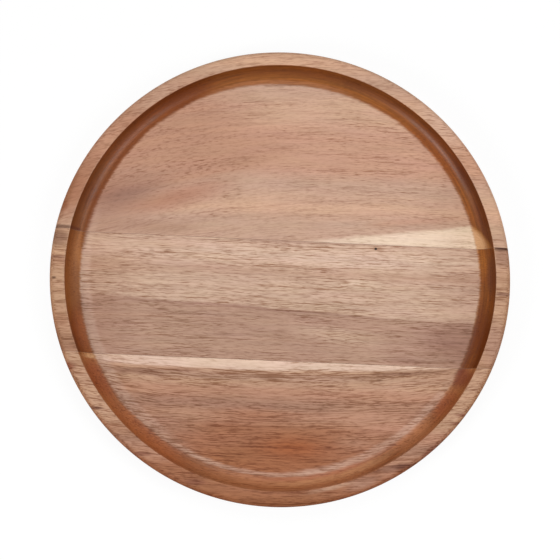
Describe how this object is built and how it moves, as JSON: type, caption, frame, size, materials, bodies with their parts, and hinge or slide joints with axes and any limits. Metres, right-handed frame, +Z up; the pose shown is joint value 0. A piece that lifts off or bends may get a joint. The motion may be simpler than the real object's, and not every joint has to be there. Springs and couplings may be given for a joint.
{
  "type": "serving board",
  "caption": "Round wooden pizza serving board of edge-glued staves, with a flat recessed floor, a coved edge and a raised rim.",
  "frame": {"origin": "centre of the underside, on the surface that the board stands on", "axes": "+Z up through the recess, X along the grain, +Y towards the back stave, which lies at the top of the picture"},
  "size_m": [0.33, 0.33, 0.02],
  "materials": {
    "back_wood": "oiled, satin",
    "middle_wood": "oiled, satin",
    "front_wood": "oiled, satin",
    "glue": "cured wood glue, sanded flush"
  },
  "bodies": {
    "root": {"back_stave": "back_wood", "middle_stave": "middle_wood", "front_stave": "front_wood", "back_glue_line": "glue", "front_glue_line": "glue"}
  },
  "joints": []
}
